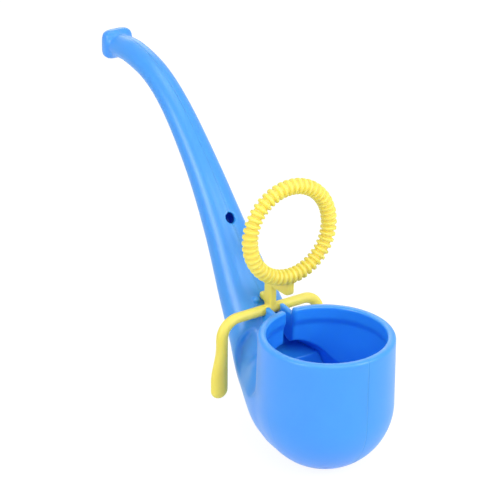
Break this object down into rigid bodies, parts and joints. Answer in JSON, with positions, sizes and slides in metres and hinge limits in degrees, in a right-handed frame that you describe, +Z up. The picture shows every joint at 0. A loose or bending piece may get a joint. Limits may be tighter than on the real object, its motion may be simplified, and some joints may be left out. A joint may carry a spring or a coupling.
{
  "type": "bubble pipe",
  "caption": "Toy bubble pipe with a round open bowl, a curved hollow stem and a ribbed bubble ring on a lever-turned wand that tips into the bowl",
  "frame": {"origin": "Middle of the small flat under the bowl, on the bowl's axis", "axes": "+Z up along the bowl's axis, +Y along the stem from the bowl to the mouthpiece, X across between the two levers"},
  "size_m": [0.0542, 0.1737, 0.1277],
  "materials": {
    "blue_plastic": "satin moulded blue",
    "yellow_plastic": "satin moulded yellow"
  },
  "bodies": {
    "pipe": {"pipe_left_half": "blue_plastic", "pipe_right_half": "blue_plastic", "air_baffle": "blue_plastic"},
    "wand": {"bubble_wand": "yellow_plastic"}
  },
  "joints": [
    {"name": "wand_hinge", "type": "hinge", "parent": "pipe", "child": "wand", "pos_m": [0, 0.03546, 0.0479], "axis": [1, 0, 0], "range_deg": [0, 90]}
  ]
}
